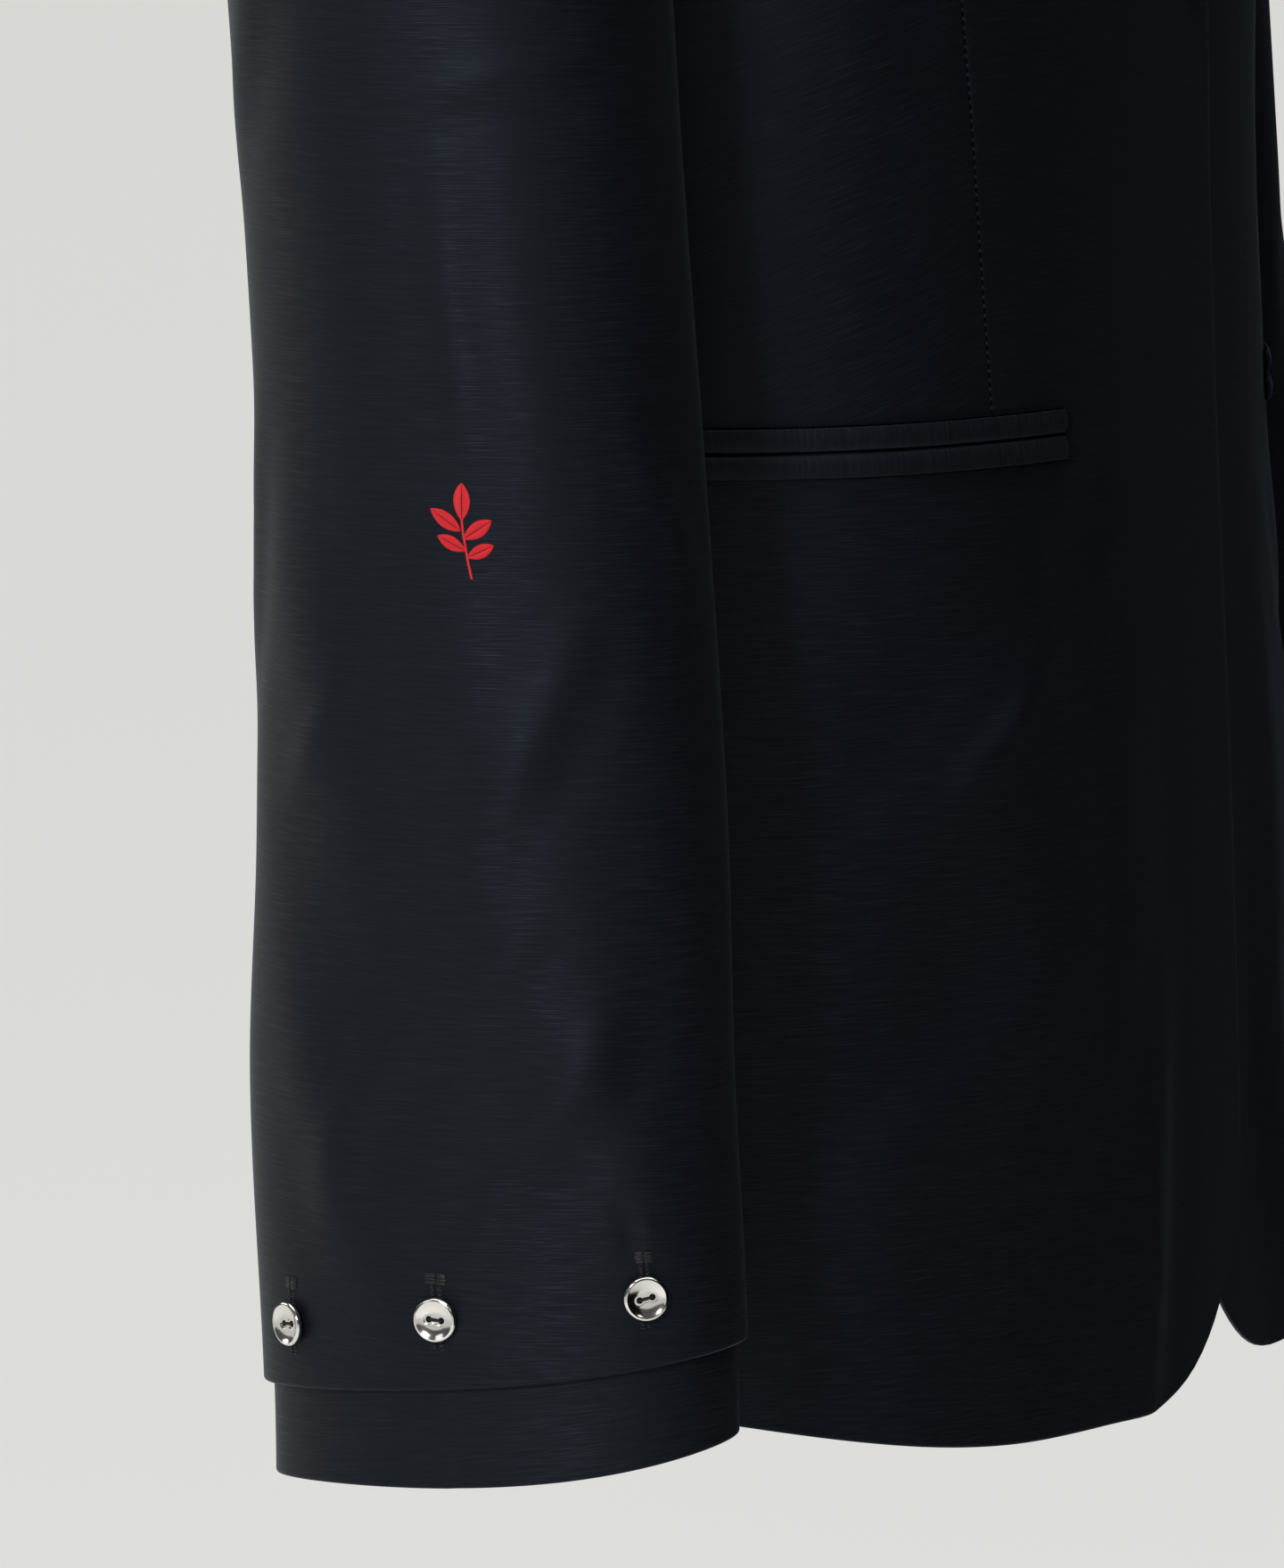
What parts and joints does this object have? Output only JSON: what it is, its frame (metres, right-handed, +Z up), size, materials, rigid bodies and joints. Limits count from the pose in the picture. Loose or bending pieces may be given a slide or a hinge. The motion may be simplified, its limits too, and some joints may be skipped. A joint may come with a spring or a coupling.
{
  "type": "blazer",
  "caption": "Single-breasted blazer in its worn hollow shape, with notched lapels, jetted pockets, two-piece sleeves, a buttoned inner cuff and round metal buttons",
  "frame": {"origin": "midway between the two side-neck points, where the wearer's shoulders carry the garment", "axes": "+Z up, the front faces -Y, the wearer's right side is at -X"},
  "size_m": [0.6318, 0.2934, 0.7517],
  "materials": {
    "suiting": "near-black navy slub cloth with a soft satin sheen",
    "welt_cloth": "the same cloth, cut across its grain",
    "button_metal": "polished silver-coloured metal"
  },
  "bodies": {
    "root": {"front_right": "suiting", "side_front_right": "suiting", "side_panel_right": "suiting", "back_right": "suiting", "lapel_right": "suiting", "sleeve_upper_right": "suiting", "sleeve_under_right": "suiting", "inner_cuff_right": "suiting", "pocket_welt_top_right": "welt_cloth", "pocket_welt_bottom_right": "welt_cloth", "cuff_button_right_1": "button_metal", "cuff_button_right_2": "button_metal", "cuff_button_right_3": "button_metal", "cuff_button_right_4": "button_metal", "cuff_button_right_5": "button_metal", "cuff_button_right_6": "button_metal", "front_left": "suiting", "side_front_left": "suiting", "side_panel_left": "suiting", "back_left": "suiting", "lapel_left": "suiting", "sleeve_upper_left": "suiting", "sleeve_under_left": "suiting", "inner_cuff_left": "suiting", "pocket_welt_top_left": "welt_cloth", "pocket_welt_bottom_left": "welt_cloth", "cuff_button_left_1": "button_metal", "cuff_button_left_2": "button_metal", "cuff_button_left_3": "button_metal", "cuff_button_left_4": "button_metal", "cuff_button_left_5": "button_metal", "cuff_button_left_6": "button_metal", "collar": "suiting", "front_button": "button_metal"}
  },
  "joints": []
}
